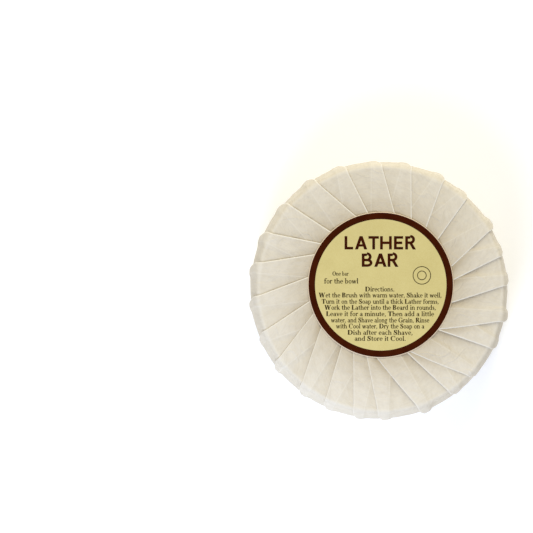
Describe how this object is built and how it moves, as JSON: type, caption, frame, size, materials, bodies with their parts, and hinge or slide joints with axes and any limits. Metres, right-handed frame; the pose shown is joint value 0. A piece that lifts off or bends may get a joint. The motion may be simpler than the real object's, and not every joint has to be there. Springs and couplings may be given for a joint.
{
  "type": "shaving soap puck",
  "caption": "Round cake of shaving soap wrapped in one pleated paper that is folded in over the front and closed with a round label.",
  "frame": {"origin": "middle of the wrapper's flat back, on the surface that the puck lies on", "axes": "+Z out of the back towards the label, square to the faces; +Y to the top of the label's print; +X to its right"},
  "size_m": [0.0848, 0.0848, 0.0267],
  "materials": {
    "soap": "satin",
    "wrapper_paper": "satin",
    "label_paper": "satin",
    "label_border_ink": "satin",
    "label_print_ink": "satin"
  },
  "bodies": {
    "root": {"soap_cake": "soap", "pleated_wrapper": "wrapper_paper", "closure_label": "label_paper"}
  },
  "joints": []
}
